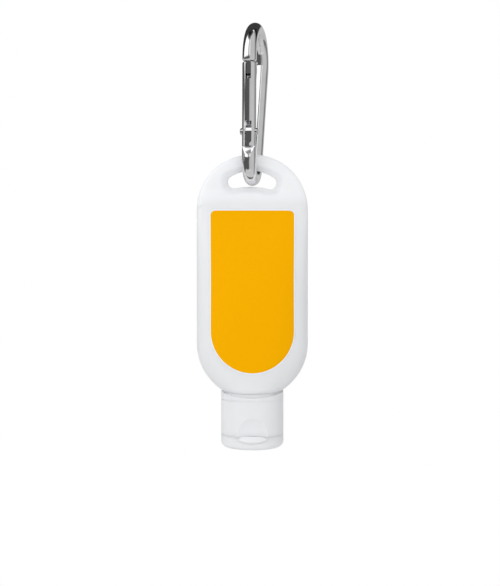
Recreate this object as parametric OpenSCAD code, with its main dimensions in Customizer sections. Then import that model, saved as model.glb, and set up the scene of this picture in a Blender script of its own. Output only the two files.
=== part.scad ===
// Flat squeeze bottle of sun lotion that hangs, cap down, from a small snap hook.
// Millimetres, +Z up. The front label faces -Y.
// The origin is on the bottle's axis, level with the inside of the hook's top bend.

/* [Bottle] */
// Width of the bottle, and of its round ends
body_w = 44.5; // [42:0.5:48]
// Length of the straight sides between the two round ends
body_straight = 53.5; // [48:0.5:60]
// Thickness of the bottle at the shoulder
body_t = 26; // [24:0.2:27]
// Thickness of the flat web round the hanging eye
web_t = 4.8; // [4:0.1:5.2]
// Thickness of the blown wall
wall = 0.9; // [0.7:0.05:1.2]
// Diameter of the flat ring under the shoulder
shoulder_d = 20.5; // [20:0.1:21.5]
// Radius of the rounding under the front and back of the shoulder
shoulder_r = 2.6; // [2:0.1:3]

/* [Eye] */
// Width of the hanging slot
eye_w = 19.6; // [18:0.2:22]
// Height of the slot at its middle
eye_h = 6.45; // [6.2:0.05:7]
// Height of the web above the slot
eye_strip = 6.5; // [6:0.1:6.8]
// Radius of the slot's lower edge
eye_sag_r = 31; // [26:1:40]
// Thickness of the slot's rim between its flares
eye_rim_t = 1.6; // [1.2:0.1:2.4]
// How far the flare widens the slot all round
eye_flare = 1.5; // [0.8:0.1:1.8]
// How far the slot is turned clockwise, seen from the front, in degrees
eye_tilt = 1.5; // [0:0.5:3]

/* [Neck] */
// Outer diameter of the neck
neck_d = 18; // [17:0.1:18.4]
// Thickness of the neck's wall
neck_wall = 1.4; // [1:0.1:1.8]
// Height of the snap bead on the neck
bead_h = 0.35; // [0.2:0.05:0.45]

/* [Labels] */
// Width of the front label
label_w = 33.4; // [30:0.2:35]
// Length of the front label
label_l = 64.5; // [58:0.5:66]
// Corner radius at the label's top
label_corner_r = 1.9; // [1:0.1:4]
// Thickness of the label film
label_t = 0.2; // [0.15:0.05:0.3]
// Distance from the bottle's top to the front label's top
label_top = 22.4; // [21:0.2:25]
// Width of the back label
back_label_w = 30; // [26:0.5:33]
// Length of the back label
back_label_l = 50; // [40:1:56]

/* [Cap] */
// Outer diameter of the cap
cap_d = 25; // [24.6:0.1:25.6]
// Length of the collar from its front rim to the parting plane
collar_l = 15.3; // [14:0.1:17]
// Gap between the shoulder and the collar's front rim
rim_gap = 1.05; // [0.9:0.05:1.6]
// Radius of the hollow curve along the collar's rim
rim_curve_r = 46.8; // [44:0.5:60]
// Thickness of the cap's walls
cap_wall = 1.2; // [1:0.05:1.4]
// Height of the lid
lid_l = 5.2; // [5:0.1:6]
// Radius of the rounding at the lid's end
lid_round_r = 2.4; // [1:0.1:2.6]
// Gap between the collar and the closed lid
lid_gap = 0.3; // [0.25:0.05:0.4]
// Diameter of the dispensing hole
orifice_d = 3.2; // [2.4:0.1:4]
// Depth of the thumb scoop in the collar
scoop_depth = 1.55; // [1:0.05:1.8]
// Radius of the thumb scoop
scoop_r = 20; // [16:0.5:26]
// How far the sloping thumb ledge runs down the lid
ledge_h = 2.35; // [1.6:0.05:2.8]
// Width of the living hinge
strap_w = 8; // [6:0.5:9]
// Thickness of the living hinge
strap_t = 0.5; // [0.4:0.05:0.6]

/* [Hook] */
// Diameter of the hook's rod
rod_d = 5.6; // [5:0.1:5.8]
// Radius of the bottom bend, to the rod's middle
bend_r = 6.4; // [6.3:0.05:6.8]
// Length of the straight spine
spine_l = 42.8; // [40:0.2:46]
// How far the spine leans outwards, in degrees
spine_lean = 13.2; // [11:0.1:15]
// How far the gate side leans outwards, in degrees
gate_lean = 3.5; // [2:0.1:5]
// Radius of the top bend on the spine side, to the rod's middle
top_r = 11.6; // [10.8:0.1:12]
// Radius of the top bend on the gate side, to the rod's middle
shoulder_bend_r = 14; // [13.6:0.1:16]
// How far the hook's plane is turned from the bottle's side view, in degrees
hook_turn = 11.8; // [0:0.2:20]
// How far the hook leans to the right where it hangs in the eye, in degrees
hook_lean = 1; // [0:0.2:3]
// Distance along the gate side from the bottom bend to the rivet
rivet_s = 11.7; // [10:0.1:13]
// Length of the straight stub between the gate and the top bend
nose_stub = 1.2; // [0.8:0.1:4]
// Length of the gate from the rivet to its fork end
fork_reach = 5.8; // [5.4:0.1:6]
// Thickness of the bridge that closes the fork below, on the gate's outer side
bridge_t = 1; // [0.8:0.05:1.2]
// Height of that bridge
bridge_h = 0.95; // [0.8:0.05:1.2]
// Diameter of the rivet's shank
rivet_d = 2; // [1.6:0.1:2.2]
// Thickness of the frame's flat tongue round the rivet
tongue_t = 2.4; // [2:0.1:2.6]
// Thickness of the flat nose tongue
nose_t = 1.8; // [1.4:0.1:2]
// Length of the nose tongue inside the gate
nose_reach = 4.6; // [4:0.2:6.4]
// How far the nose tongue's front lies behind the rod's surface
nose_set_back = 0.9; // [0.4:0.1:1.2]
// Length of the ramp at the top of the lower arm
ramp_l = 3.4; // [2.4:0.1:4]

/* [Hidden] */

$fn = 64;
// One overrun serves every cut that has to pass a face
over = 0.5;

// Clearances
// Room between the rod and the eye's upper edge
hang_gap = 0.4;
// Room on each side of a tongue in its slot
slot_gap = 0.2;
// Radial room of the rivet in the frame's tongue
pivot_gap = 0.05;
// Room between the gate's ends and the frame
gate_gap = 0.3;
// Radial room of the plunger and the spring in their bore
bore_gap = 0.1;
// Play between the spring and what it presses on
spring_gap = 0.05;
// Radial room of the plug in the dispensing hole
plug_gap = 0.1;
// Radial room between the neck and the cap's skirt
skirt_gap = 0.08;
// Play between pieces that are fixed to each other
snug_gap = 0.02;

// Hook outline, in its own plane: x runs from the gate side to the spine side, z runs up from
// the centre of the bottom bend
rod_r = rod_d / 2;
function along(a) = [cos(a), sin(a)];
gate_out = along(180 + gate_lean);
gate_up = along(90 + gate_lean);
spine_out = along(-spine_lean);
spine_up = along(90 - spine_lean);
top_c = bend_r * spine_out + spine_l * spine_up - top_r * spine_out;
bend_diff = shoulder_bend_r - top_r;
gate_offset = (bend_r - shoulder_bend_r) * gate_out - top_c;
gate_run = gate_offset * gate_up;
gate_line_l = -gate_run - sqrt(gate_run * gate_run - gate_offset * gate_offset + bend_diff * bend_diff);
shoulder_c = (bend_r - shoulder_bend_r) * gate_out + gate_line_l * gate_up;
join_dir = (top_c - shoulder_c) / bend_diff;
join_a = atan2(join_dir[1], join_dir[0]);
spine_a = -spine_lean;
gate_a = 180 + gate_lean;
bend_a = gate_a;
bend_sweep = 180 - gate_lean - spine_lean;
bend_z = -(top_c[1] + top_r - rod_r);

// Places along the gate side, measured from the end of the bottom bend
nose_s = gate_line_l - nose_stub;
gate_reach = nose_s - gate_gap - rivet_s;
arm_s = rivet_s - fork_reach - gate_gap;
tongue_r = rod_r - slot_gap;
tongue_front = rod_r - bridge_t - slot_gap;
cam_w = 2.2;
fork_slot_h = 3.9;
fork_slot_w = tongue_t + 2 * slot_gap;
nose_slot_w = nose_t + 2 * slot_gap;
end_round_r = 0.5;
nose_round_r = 1;
ramp_a = atan2(rod_r - tongue_front, ramp_l);
seam_h = 0.1;
seam_over = 0.01;
// Disc that mills the nose slot: its edge reaches past the rod's middle at the nose, and runs
// out at the rod's face below the tongue
nose_slot_depth = rod_r + 1.5;
runout_past_tongue = 2.1;
nose_runout = nose_reach + runout_past_tongue;
mill_r = (nose_runout * nose_runout + nose_slot_depth * nose_slot_depth) / (2 * nose_slot_depth);
mill_x = nose_slot_depth - rod_r - mill_r;

// Spring and plunger inside the gate
spring_bore_r = 1.5;
spring_bore_share = 0.42;
spring_bore_l = gate_reach * spring_bore_share;
plunger_stem_r = 1;
plunger_head_l = 2;
plunger_lift = 0.15;
plunger_z = tongue_r + plunger_lift;
plunger_head_z = fork_slot_h + plunger_lift;
spring_wire_r = 0.17;
spring_r = spring_bore_r - bore_gap - spring_wire_r;
spring_turns = 8;
spring_z = plunger_head_z + plunger_head_l + spring_gap + spring_wire_r;
spring_l = fork_slot_h + spring_bore_l - spring_gap - spring_wire_r - spring_z;
spring_steps = 14;
spring_sides = 6;

// Rivet
rivet_r = rivet_d / 2;
rivet_head_r = rivet_r + 0.35;
rivet_sink = 0.5;
rivet_seat_y = rod_r - rivet_sink;
rivet_head_h = 0.95;
rivet_dome_h = 0.3;

// Bottle heights
body_r = body_w / 2;
eye_top_z = bend_z - (bend_r - rod_r) + hang_gap;
body_top_z = eye_top_z + eye_strip;
top_arc_z = body_top_z - body_r;
low_arc_z = top_arc_z - body_straight;
shoulder_z = low_arc_z - sqrt(body_r * body_r - shoulder_d * shoulder_d / 4);
eye_low_z = eye_top_z - eye_h;

// Half thickness of the bottle's middle: flat at the web, growing to the shoulder
web_end_z = eye_low_z - 1;
swell_share = 1.1;
function swell(z) = pow(sin(90 * min(1, max(0, (web_end_z - z) / (web_end_z - low_arc_z)))), swell_share);
function full_depth(z) = web_t / 2 + (body_t - web_t) / 2 * swell(z);
shoulder_turn_z = shoulder_z + shoulder_r;
function low_fall(z) = z < shoulder_turn_z
    ? shoulder_r - sqrt(max(0, shoulder_r * shoulder_r - pow(shoulder_turn_z - z, 2))) : 0;
function half_depth(z) = full_depth(z) - low_fall(z);
function half_width(z) = sqrt(max(0, body_r * body_r - pow(max(0, z - top_arc_z, low_arc_z - z), 2)));

// Fullness of a section: round at the shoulder, pillow-shaped in the middle, flat at the web
round_share = 2;
pillow_share = 2.7;
flat_share = 5;
function ease(t) = let(u = min(1, max(0, t))) u * u * (3 - 2 * u);
function fullness(z) = round_share
    + (pillow_share - round_share) * ease((z - shoulder_z) / (low_arc_z - shoulder_z))
    + (flat_share - pillow_share) * ease((z - low_arc_z - body_straight / 3) / (eye_low_z - low_arc_z - body_straight / 3));

// Heights of the bottle's sections: by angle on the round ends, evenly between them
low_end_a = acos(shoulder_d / body_w);
low_steps = 12;
mid_steps = 10;
top_steps = 15;
top_end_a = 89;
section_zs = concat(
    [for (i = [0:low_steps - 1]) low_arc_z - body_r * sin(low_end_a * pow(1 - i / low_steps, 0.6))],
    [for (i = [0:mid_steps - 1]) low_arc_z + body_straight * i / mid_steps],
    [for (i = [0:top_steps]) top_arc_z + body_r * sin(top_end_a * i / top_steps)]);
section_points = 40;

// Inside of the bottle
cavity_top_z = eye_low_z - eye_flare - 2.6;
cavity_low_z = shoulder_z + wall;
cavity_zs = concat([cavity_low_z], [for (z = section_zs) if (z > cavity_low_z + wall && z < cavity_top_z - wall) z],
                   [cavity_top_z - wall / 2, cavity_top_z - wall / 6]);
cavity_points = 28;
inner_r = body_r - wall;
function cavity_width(z) = sqrt(inner_r * inner_r - pow(max(0, z - top_arc_z, low_arc_z - z), 2));
function cavity_depth(z) = min(half_depth(z) - wall, cavity_top_z - z);

// Eye outline, centred on eye_c_z: two arcs, joined by round ends that touch both of them
eye_c_z = (eye_top_z + eye_low_z) / 2;
eye_arc_r = body_r - eye_strip;
eye_arc_z = top_arc_z - eye_c_z;
eye_sag_z = eye_low_z - eye_sag_r - eye_c_z;
arcs_apart = eye_arc_z - eye_sag_z;
end_rise = (eye_arc_r + eye_sag_r) / arcs_apart;
end_base = ((eye_arc_r + eye_sag_r) * (eye_sag_r - eye_arc_r) + eye_arc_z * eye_arc_z - eye_sag_z * eye_sag_z)
    / (2 * arcs_apart) - eye_arc_z;
end_b = end_rise * end_base - eye_w / 2 + eye_arc_r;
end_c = eye_w * eye_w / 4 + end_base * end_base - eye_arc_r * eye_arc_r;
eye_end_r = (sqrt(end_b * end_b - end_rise * end_rise * end_c) - end_b) / (end_rise * end_rise);
eye_end_x = eye_w / 2 - eye_end_r;
eye_end_z = eye_arc_z + end_base + end_rise * eye_end_r;
end_top_a = atan2(eye_end_x, eye_end_z - eye_arc_z);
end_low_a = atan2(eye_end_x, eye_end_z - eye_sag_z);
eye_steps = 10;
function arc_points(x, z, r, from, to) = [for (i = [0:eye_steps]) [x, z] + r * along(from + (to - from) * i / eye_steps)];
// The points where two arcs meet are listed once
eye_points = concat(
    arc_points(0, eye_arc_z, eye_arc_r, 90 - end_top_a, 90 + end_top_a),
    [for (i = [1:eye_steps - 1]) arc_points(-eye_end_x, eye_end_z, eye_end_r, 90 + end_top_a, 270 + end_low_a)[i]],
    arc_points(0, eye_sag_z, eye_sag_r, 90 + end_low_a, 90 - end_low_a),
    [for (i = [1:eye_steps - 1]) arc_points(eye_end_x, eye_end_z, eye_end_r, -90 - end_low_a, 90 - end_top_a)[i]]);

// Cap heights
cap_r = cap_d / 2;
rim_z = shoulder_z - rim_gap;
part_z = rim_z - collar_l;
lid_top_z = part_z - lid_gap;
lid_low_z = part_z - lid_l;
rim_side_z = rim_z + rim_curve_r - sqrt(rim_curve_r * rim_curve_r - cap_r * cap_r);
deck_low_z = part_z + 1.6;
deck_top_z = deck_low_z + cap_wall;
neck_r = neck_d / 2;
neck_bore_r = neck_r - neck_wall;
bead_z = deck_top_z + 3;
skirt_r = neck_r + skirt_gap;
skirt_l = 9;
spout_r = orifice_d / 2 + 1.3;
spout_low_z = part_z + 0.4;
seal_r = neck_bore_r - skirt_gap;
seal_l = 2;
groove_h = 0.4;
groove_depth = 0.2;
groove_z = rim_z - 1.3;

// Lid inside
plug_r = orifice_d / 2 - plug_gap;
plug_tip_r = plug_r - 0.4;
plug_reach = 1.1;
plug_taper_l = 0.7;
plug_top_z = spout_low_z + plug_reach;
lid_floor_z = lid_low_z + cap_wall;
plug_rib_r = spout_r + 0.8;
plug_rib_h = 2;

// Living hinge, in a flush notch at the back
hinge_notch_h = 1.8;
strap_h = hinge_notch_h - 0.1;
notch_side_gap = 0.2;
hinge_flat_y = cap_r - 0.85;
strap_y = hinge_flat_y + snug_gap;
hinge_y = cap_r - 0.35;

// Labels
label_top_z = body_top_z - label_top;
back_label_c_z = label_top_z - label_l / 2;

// Placing on the hook

module place_hook() {
    translate([0, 0, bend_z]) rotate([0, hook_lean, 0]) rotate([0, 0, 90 - hook_turn]) children();
}

module on_gate_side(s) {
    translate([bend_r * gate_out[0], 0, bend_r * gate_out[1]]) rotate([0, -gate_lean, 0])
        translate([0, 0, s]) children();
}

module bend(c, r, from, sweep) {
    translate([c[0], 0, c[1]]) rotate([90, 0, 0]) rotate([0, 0, from])
        rotate_extrude(angle = sweep) translate([r, 0]) circle(r = rod_r);
}

// A hair-thin disc that joins two runs of rod where their ends meet
module seam(c, r, a) {
    translate([c[0], 0, c[1]]) rotate([0, -a, 0]) translate([r, 0, -seam_h / 2])
        cylinder(r = rod_r + seam_over, h = seam_h);
}

// A disc across the hook's plane
module cross_disc(r, h) {
    rotate([90, 0, 0]) translate([0, 0, -h / 2]) cylinder(r = r, h = h);
}

// A run of rod whose upper end is rounded
module round_rod(l, r) {
    cylinder(r = rod_r, h = l - r);
    cylinder(r = rod_r - r, h = l);
    translate([0, 0, l - r]) rotate_extrude() translate([rod_r - r, 0]) circle(r = r);
}

// Lower tongue of the frame: round round the rivet on the outside, square on the inside, so
// that the plunger shuts the gate
module rivet_tongue() {
    intersection() {
        on_gate_side(arm_s - over) cylinder(r = rod_r, h = rivet_s - arm_s + over + tongue_r);
        on_gate_side(rivet_s) union() {
            translate([tongue_r - tongue_front, 0, 0]) cross_disc(tongue_r, tongue_t);
            translate([0, -tongue_t / 2, 0]) cube([cam_w, tongue_t, tongue_r]);
            translate([-tongue_front, -tongue_t / 2, -fork_reach - gate_gap - over])
                cube([rod_d, tongue_t, fork_reach + gate_gap + over]);
        }
    }
}

module nose_tongue() {
    intersection() {
        on_gate_side(nose_s - gate_gap - nose_reach)
            cylinder(r = rod_r, h = nose_reach + gate_gap + over);
        on_gate_side(rivet_s + gate_reach) translate([mill_x, 0, 0]) cross_disc(mill_r - slot_gap, nose_t);
        on_gate_side(0) translate([nose_set_back - rod_r, -rod_r, 0]) cube([rod_d, rod_d, gate_line_l]);
    }
}

// Flat ramp from the rod's surface up to the tongue's front
module arm_ramp() {
    translate([-tongue_front, -rod_d, 0]) rotate([0, ramp_a, 0])
        translate([-rod_d, 0, -2 * ramp_l]) cube([rod_d, 2 * rod_d, 2 * ramp_l]);
}

module carabiner_frame() {
    color([0.78, 0.79, 0.8]) place_hook() difference() {
        union() {
            bend([0, 0], bend_r, bend_a, bend_sweep);
            translate([bend_r * spine_out[0], 0, bend_r * spine_out[1]]) rotate([0, spine_lean, 0])
                cylinder(r = rod_r, h = spine_l);
            bend(top_c, top_r, spine_a, join_a - spine_a);
            bend(shoulder_c, shoulder_bend_r, join_a, gate_a - join_a);
            // The stub's rounded end points down at the gate
            on_gate_side(gate_line_l) mirror([0, 0, 1]) round_rod(nose_stub, nose_round_r);
            on_gate_side(0) difference() {
                cylinder(r = rod_r, h = arm_s);
                translate([0, 0, arm_s]) arm_ramp();
            }
            for (a = [gate_a, spine_a])
                seam([0, 0], bend_r, a);
            for (a = [spine_a, join_a])
                seam(top_c, top_r, a);
            seam(shoulder_c, shoulder_bend_r, gate_a);
            rivet_tongue();
            nose_tongue();
        }
        on_gate_side(rivet_s) cross_disc(rivet_r + pivot_gap, rod_d);
    }
}

module gate() {
    color([0.76, 0.77, 0.78]) place_hook() on_gate_side(rivet_s) difference() {
        union() {
            // Fork end: square on the outside, rounded about the rivet on the inside
            intersection() {
                translate([0, 0, -fork_reach]) cylinder(r = rod_r, h = fork_reach);
                union() {
                    cross_disc(fork_reach, rod_d + over);
                    translate([-rod_d, -rod_d, -fork_reach]) cube([rod_d, 2 * rod_d, fork_reach]);
                }
            }
            round_rod(gate_reach, end_round_r);
        }
        // Fork over the frame's tongue, closed by the bridge at its outer lower end
        translate([bridge_t - rod_r, -fork_slot_w / 2, -fork_reach - over])
            cube([2 * rod_d, fork_slot_w, fork_reach + fork_slot_h + over]);
        translate([-rod_d, -fork_slot_w / 2, fork_slot_w / 2 + bridge_h - fork_reach])
            cube([rod_d, fork_slot_w, fork_reach + fork_slot_h - fork_slot_w / 2 - bridge_h]);
        translate([-rod_d, 0, fork_slot_w / 2 + bridge_h - fork_reach]) rotate([0, 90, 0])
            cylinder(d = fork_slot_w, h = rod_d);
        // Milled slot for the nose tongue
        translate([mill_x, 0, gate_reach]) cross_disc(mill_r, nose_slot_w);
        // Bore for the plunger and the spring
        cylinder(r = spring_bore_r, h = fork_slot_h + spring_bore_l);
        // Rivet hole and the seats of its heads
        cross_disc(rivet_r + snug_gap, rod_d + over);
        for (side = [-1, 1])
            translate([0, side * (rivet_seat_y + rod_r / 2), 0]) cross_disc(rivet_head_r + snug_gap, rod_r);
    }
}

module gate_rivet() {
    head_y = rivet_seat_y + snug_gap;
    color([0.7, 0.7, 0.72]) place_hook() on_gate_side(rivet_s) union() {
        cross_disc(rivet_r, 2 * head_y);
        for (side = [-1, 1])
            translate([0, side * head_y, 0]) rotate([-90 * side, 0, 0]) union() {
                cylinder(r = rivet_head_r, h = rivet_head_h);
                translate([0, 0, rivet_head_h])
                    cylinder(r1 = rivet_head_r, r2 = rivet_r, h = rivet_dome_h);
            }
    }
}

// Coil wound up the gate's axis
module gate_spring() {
    steps = spring_turns * spring_steps;
    ring = [for (k = [0:spring_sides - 1]) 360 * k / spring_sides];
    pts = [for (i = [0:steps]) let (a = 360 * i / spring_steps, z = spring_z + spring_l * i / steps)
        for (b = ring) let (r = spring_r + spring_wire_r * cos(b))
            [r * cos(a), r * sin(a), z + spring_wire_r * sin(b)]];
    sides = [for (i = [0:steps - 1]) for (k = [0:spring_sides - 1])
        let (n = (k + 1) % spring_sides, a = i * spring_sides)
            [a + k, a + n, a + spring_sides + n, a + spring_sides + k]];
    color([0.6, 0.6, 0.62]) place_hook() on_gate_side(rivet_s) polyhedron(
        points = pts,
        faces = concat([[for (k = [0:spring_sides - 1]) spring_sides - 1 - k]], sides,
                       [[for (k = [0:spring_sides - 1]) steps * spring_sides + k]]),
        convexity = 8);
}

module gate_plunger() {
    color([0.66, 0.66, 0.68]) place_hook() on_gate_side(rivet_s) union() {
        translate([0, 0, plunger_z]) cylinder(r = plunger_stem_r, h = plunger_head_z - plunger_z);
        translate([0, 0, plunger_head_z]) cylinder(r = spring_bore_r - bore_gap, h = plunger_head_l);
    }
}

// One section of the bottle: a rounded outline with n points. Above the middle of the top arc the
// depth falls with the distance from that middle, so that the edge is the same all round
function section(w, d, p, z, n, r) = [for (j = [0:n - 1]) let (
        a = 360 * (j + 0.5) / n,
        x = w * sign(cos(a)) * pow(abs(cos(a)), 2 / p),
        up = z - top_arc_z,
        q = up > 0 ? sqrt(x * x + up * up) / r : abs(x) / w)
    [x, d * sign(sin(a)) * pow(max(0, 1 - pow(q, p)), 1 / p), z]];

// Skin over a stack of sections, lowest first
module skin(rings) {
    n = len(rings[0]);
    last = len(rings) - 1;
    sides = [for (i = [0:last - 1]) for (j = [0:n - 1]) let (m = (j + 1) % n, a = i * n, b = (i + 1) * n)
        for (t = [[a + m, a + j, b + j], [a + m, b + j, b + m]]) t];
    polyhedron(points = [for (r = rings) for (p = r) p],
               faces = concat([[for (j = [0:n - 1]) j]], sides, [[for (j = [0:n - 1]) last * n + n - 1 - j]]),
               convexity = 6);
}

module body_form(grow) {
    skin([for (z = section_zs)
        section(half_width(z) + grow, half_depth(z) + grow, fullness(z), z, section_points, body_r + grow)]);
}

module cavity_form() {
    skin([for (z = cavity_zs) section(cavity_width(z), cavity_depth(z), fullness(z), z, cavity_points, inner_r)]);
}

module eye_cut() {
    grow_share = [(eye_w + 2 * eye_flare) / eye_w, (eye_h + 2 * eye_flare) / eye_h];
    flare_h = (web_t - eye_rim_t) / 2;
    translate([0, 0, eye_c_z]) rotate([0, eye_tilt, 0]) {
        rotate([90, 0, 0]) translate([0, 0, -web_t / 2 - over])
            linear_extrude(height = web_t + 2 * over) polygon(eye_points);
        for (side = [0, 1])
            mirror([0, side, 0]) rotate([90, 0, 0]) translate([0, 0, eye_rim_t / 2])
                linear_extrude(height = flare_h, scale = grow_share, slices = 1) polygon(eye_points);
    }
}

module bottle_shell() {
    color([0.93, 0.94, 0.95]) difference() {
        union() {
            body_form(0);
            translate([0, 0, deck_top_z]) cylinder(r = neck_r, h = shoulder_z - deck_top_z + wall);
            translate([0, 0, bead_z]) rotate_extrude()
                polygon([[neck_r - over, -2 * bead_h], [neck_r, -2 * bead_h], [neck_r + bead_h, 0],
                         [neck_r, 2 * bead_h], [neck_r - over, 2 * bead_h]]);
        }
        cavity_form();
        translate([0, 0, deck_top_z - over]) cylinder(r = neck_bore_r, h = cavity_low_z - deck_top_z + 2 * over);
        eye_cut();
    }
}

// Label outlines: round corners at the top
module label_top_form(w, l, r) {
    translate([-w / 2, -l]) square([w, l - r]);
    translate([-w / 2 + r, -r - over]) square([w - 2 * r, r + over]);
    for (side = [-1, 1])
        translate([side * (w / 2 - r), -r]) circle(r = r);
}

module front_label_outline() {
    label_top_form(label_w, label_l - label_w / 2, label_corner_r);
    translate([0, -label_l + label_w / 2]) circle(d = label_w);
}

module back_label_outline() {
    label_top_form(back_label_w, back_label_l - label_corner_r, label_corner_r);
    translate([0, -back_label_l]) mirror([0, 1]) label_top_form(back_label_w, label_corner_r * 2, label_corner_r);
}

// The film lies on the wall, within the outline, on the front (-1) or back (1) of the bottle
module film(side) {
    intersection() {
        difference() {
            body_form(snug_gap + label_t);
            body_form(snug_gap);
        }
        rotate([90, 0, 0]) translate([0, 0, side < 0 ? 0 : -body_t]) linear_extrude(height = body_t) children();
    }
}

module front_label() {
    color([0.96, 0.69, 0]) film(-1) translate([0, label_top_z]) front_label_outline();
}

module back_label() {
    color([0.95, 0.95, 0.94]) film(1) translate([0, back_label_c_z + back_label_l / 2]) back_label_outline();
}

module ring(r_out, r_in, z, h) {
    translate([0, 0, z]) rotate_extrude() translate([r_in, 0]) square([r_out - r_in, h]);
}

module scoop_form(r) {
    translate([-cap_r, -cap_r - scoop_r + scoop_depth, part_z]) rotate([0, 90, 0]) cylinder(r = r, h = cap_d);
}

module hinge_notch() {
    notch_w = strap_w + 2 * notch_side_gap;
    translate([-notch_w / 2, hinge_flat_y, part_z - hinge_notch_h])
        cube([notch_w, cap_r, 2 * hinge_notch_h]);
}

// Room inside the collar's wall, clear of the scoop
module collar_room(z, h) {
    difference() {
        translate([0, 0, z]) cylinder(r = cap_r - cap_wall, h = h);
        scoop_form(scoop_r + cap_wall);
    }
}

module cap_collar() {
    color([0.92, 0.93, 0.94]) difference() {
        union() {
            difference() {
                translate([0, 0, part_z]) cylinder(r = cap_r, h = rim_side_z - part_z + over);
                collar_room(deck_top_z, collar_l);
                difference() {
                    collar_room(part_z - over, deck_low_z - part_z + over);
                    translate([-cap_r, hinge_flat_y - cap_wall, part_z - cap_r]) cube([cap_d, cap_r, cap_d]);
                }
                // Hollow curve of the rim
                translate([0, cap_r + over, rim_z + rim_curve_r]) rotate([90, 0, 0])
                    cylinder(r = rim_curve_r, h = cap_d + 2 * over);
                scoop_form(scoop_r);
            }
            ring(skirt_r + bead_h + cap_wall, skirt_r, deck_low_z, skirt_l);
            ring(seal_r, seal_r - cap_wall, deck_low_z, cap_wall + seal_l);
            translate([0, 0, spout_low_z]) cylinder(r = spout_r, h = deck_top_z - spout_low_z);
        }
        translate([0, 0, spout_low_z - over]) cylinder(d = orifice_d, h = deck_top_z - spout_low_z + 2 * over);
        // Groove that snaps over the bead
        translate([0, 0, bead_z]) rotate_extrude()
            polygon([[skirt_r - over, -2 * bead_h - over], [skirt_r, -2 * bead_h - skirt_gap],
                     [skirt_r + bead_h, 0], [skirt_r, 2 * bead_h + skirt_gap], [skirt_r - over, 2 * bead_h + over]]);
        ring(cap_r + over, cap_r - groove_depth, groove_z - groove_h / 2, groove_h);
        hinge_notch();
    }
}

module cap_lid() {
    ledge_a = atan2(scoop_depth, ledge_h);
    color([0.92, 0.93, 0.94]) difference() {
        union() {
            difference() {
                union() {
                    translate([0, 0, lid_low_z + lid_round_r])
                        cylinder(r = cap_r, h = lid_top_z - lid_low_z - lid_round_r);
                    translate([0, 0, lid_low_z]) cylinder(r = cap_r - lid_round_r, h = lid_round_r + over);
                    translate([0, 0, lid_low_z + lid_round_r]) rotate_extrude()
                        translate([cap_r - lid_round_r, 0]) circle(r = lid_round_r);
                }
                translate([0, 0, lid_floor_z + lid_round_r - cap_wall])
                    cylinder(r = cap_r - cap_wall, h = lid_l);
                translate([0, 0, lid_floor_z]) cylinder(r = cap_r - lid_round_r, h = lid_l);
                translate([0, 0, lid_low_z + lid_round_r]) rotate_extrude()
                    translate([cap_r - lid_round_r, 0]) circle(r = lid_round_r - cap_wall);
            }
            // Wall behind the thumb ledge, and behind the hinge notch
            intersection() {
                translate([0, 0, lid_floor_z]) cylinder(r = cap_r - cap_wall / 2, h = lid_top_z - lid_floor_z);
                union() {
                    translate([-cap_r, -cap_r, lid_floor_z]) cube([cap_d, scoop_depth + cap_wall, lid_l]);
                    translate([-cap_r, hinge_flat_y - cap_wall, lid_floor_z]) cube([cap_d, cap_r, lid_l]);
                }
            }
            // Plug for the dispensing hole, with its stiffening rib
            translate([0, 0, lid_floor_z - cap_wall / 2])
                cylinder(r = plug_r, h = plug_top_z - plug_taper_l - lid_floor_z + cap_wall / 2);
            translate([0, 0, plug_top_z - plug_taper_l]) cylinder(r1 = plug_r, r2 = plug_tip_r, h = plug_taper_l);
            ring(plug_rib_r, plug_rib_r - cap_wall / 2, lid_floor_z - cap_wall / 2, plug_rib_h + cap_wall / 2);
        }
        // Sloping ledge under the scoop
        translate([0, -cap_r + scoop_depth, part_z]) rotate([-ledge_a, 0, 0])
            translate([-cap_r, -cap_r, -cap_r]) cube([cap_d, cap_r, 2 * cap_r]);
        hinge_notch();
    }
}

module hinge_strap() {
    color([0.9, 0.91, 0.92]) translate([-strap_w / 2, strap_y, part_z - strap_h])
        cube([strap_w, strap_t, 2 * strap_h]);
}

carabiner_frame();
gate();
gate_rivet();
gate_spring();
gate_plunger();
bottle_shell();
front_label();
back_label();
cap_collar();
cap_lid();
hinge_strap();
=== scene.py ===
"""Looks of a flat squeeze bottle of sun lotion that hangs, cap down, from a small snap hook.

The frame is in metres, +Z up, with the front label facing -Y. Shapes are worked out here in
millimetres and scaled once, when a mesh is made.
"""

import math

import bmesh
import bpy
import numpy as np
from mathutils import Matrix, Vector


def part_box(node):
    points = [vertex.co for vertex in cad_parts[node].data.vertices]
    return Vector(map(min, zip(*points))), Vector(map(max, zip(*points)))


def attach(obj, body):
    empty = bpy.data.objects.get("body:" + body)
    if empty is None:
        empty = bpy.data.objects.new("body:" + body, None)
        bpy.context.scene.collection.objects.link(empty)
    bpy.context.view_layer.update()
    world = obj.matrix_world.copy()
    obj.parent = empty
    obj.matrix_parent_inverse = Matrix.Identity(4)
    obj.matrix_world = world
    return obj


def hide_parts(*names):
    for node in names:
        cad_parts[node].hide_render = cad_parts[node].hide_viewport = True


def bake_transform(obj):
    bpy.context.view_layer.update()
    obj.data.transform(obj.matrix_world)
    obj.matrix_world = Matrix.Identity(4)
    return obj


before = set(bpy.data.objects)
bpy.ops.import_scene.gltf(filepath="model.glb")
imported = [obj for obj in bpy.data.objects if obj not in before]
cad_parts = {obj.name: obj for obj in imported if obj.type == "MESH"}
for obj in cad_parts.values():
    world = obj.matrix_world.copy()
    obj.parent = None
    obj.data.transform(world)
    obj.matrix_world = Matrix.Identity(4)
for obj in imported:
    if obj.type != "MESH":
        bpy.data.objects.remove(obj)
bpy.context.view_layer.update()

MM = 0.001
QUARTER = math.pi / 2

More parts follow.
